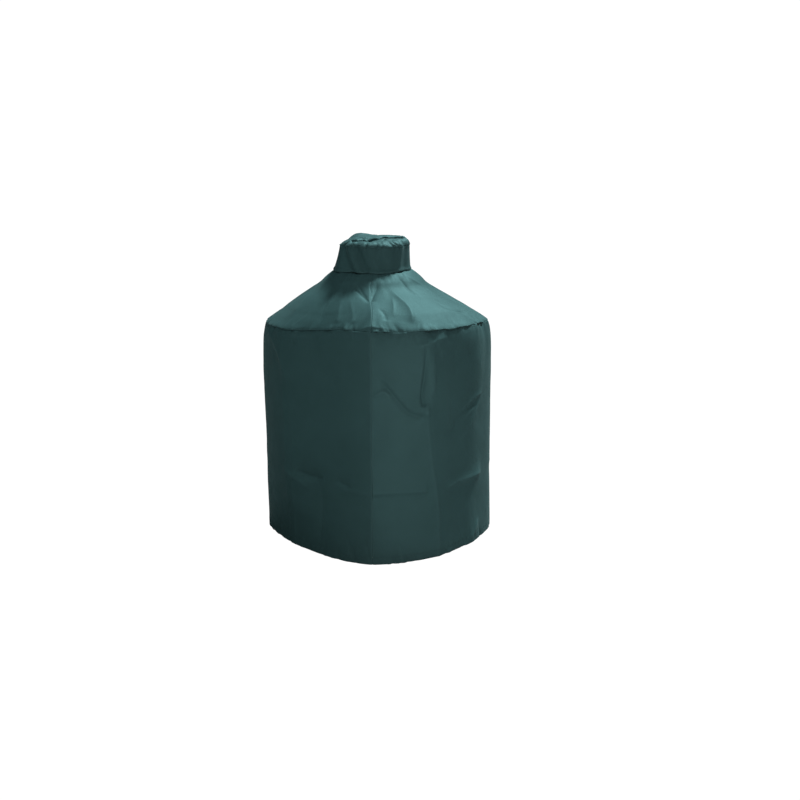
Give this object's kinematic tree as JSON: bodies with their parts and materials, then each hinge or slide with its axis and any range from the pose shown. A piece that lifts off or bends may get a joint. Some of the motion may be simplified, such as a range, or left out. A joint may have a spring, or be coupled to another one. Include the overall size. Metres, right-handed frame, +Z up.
{
  "type": "grill cover",
  "caption": "Fitted cloth cover for an egg-shaped charcoal grill, with a tall skirt, a sloping shoulder cone and a short gathered chimney cap, open at the hem.",
  "frame": {"origin": "on the ground, under the middle of the hem, at the middle of the bounding box's bottom", "axes": "+Z up through the chimney cap, -Y towards the front, where the front seam runs, and +X towards the cover's right side seen from the front"},
  "size_m": [0.7618, 0.7008, 0.982],
  "materials": {
    "cover_cloth": "satin woven polyester, coated on the inside",
    "seam_tape": "smooth sealed tape",
    "thread": "twisted polyester thread"
  },
  "bodies": {
    "root": {"skirt_panel_front_left": "cover_cloth", "skirt_panel_front_right": "cover_cloth", "skirt_panel_back_right": "cover_cloth", "skirt_panel_back_left": "cover_cloth", "cone_panel_front_left": "cover_cloth", "cone_panel_front_right": "cover_cloth", "cone_panel_back_right": "cover_cloth", "cone_panel_back_left": "cover_cloth", "cap_band": "cover_cloth", "cap_crown": "cover_cloth", "hem_facing": "cover_cloth", "shoulder_seam_tape": "seam_tape", "neck_seam_tape": "seam_tape", "rim_seam_tape": "seam_tape", "skirt_seam_tape_front": "seam_tape", "skirt_seam_tape_right": "seam_tape", "skirt_seam_tape_back": "seam_tape", "skirt_seam_tape_left": "seam_tape", "cone_seam_tape_front": "seam_tape", "cone_seam_tape_right": "seam_tape", "cone_seam_tape_back": "seam_tape", "cone_seam_tape_left": "seam_tape", "band_seam_tape": "seam_tape"}
  },
  "joints": []
}
